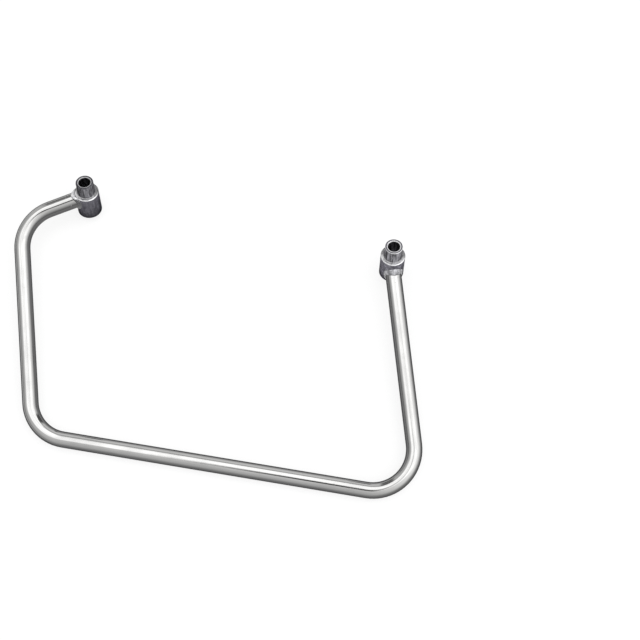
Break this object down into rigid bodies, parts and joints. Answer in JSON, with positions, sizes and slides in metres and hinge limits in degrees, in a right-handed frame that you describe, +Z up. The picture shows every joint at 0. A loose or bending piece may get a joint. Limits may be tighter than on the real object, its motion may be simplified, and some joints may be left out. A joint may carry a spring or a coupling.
{
  "type": "motorbike pannier frame",
  "caption": "Bent chrome tube loop that holds a soft pannier off a motorbike's rear wheel, with a through-bored stand-off sleeve welded to each end.",
  "frame": {"origin": "on the floor that the frame lies on, under the middle of its footprint", "axes": "+X along the bottom bar from the front of the bike to the rear, +Y across the floor from the bottom bar to the sleeves, +Z up, the side that the sleeves' necks point to"},
  "size_m": [0.4376, 0.2688, 0.0547],
  "materials": {
    "tube_chrome": "polished chrome plate on a bent steel tube",
    "sleeve_chrome": "chrome plate over turned steel, duller than the tube",
    "weld_chrome": "chrome plate over a rippled weld bead"
  },
  "bodies": {
    "root": {"loop_tube": "tube_chrome", "front_sleeve": "sleeve_chrome", "rear_sleeve": "sleeve_chrome", "front_weld": "weld_chrome", "rear_weld": "weld_chrome"}
  },
  "joints": []
}
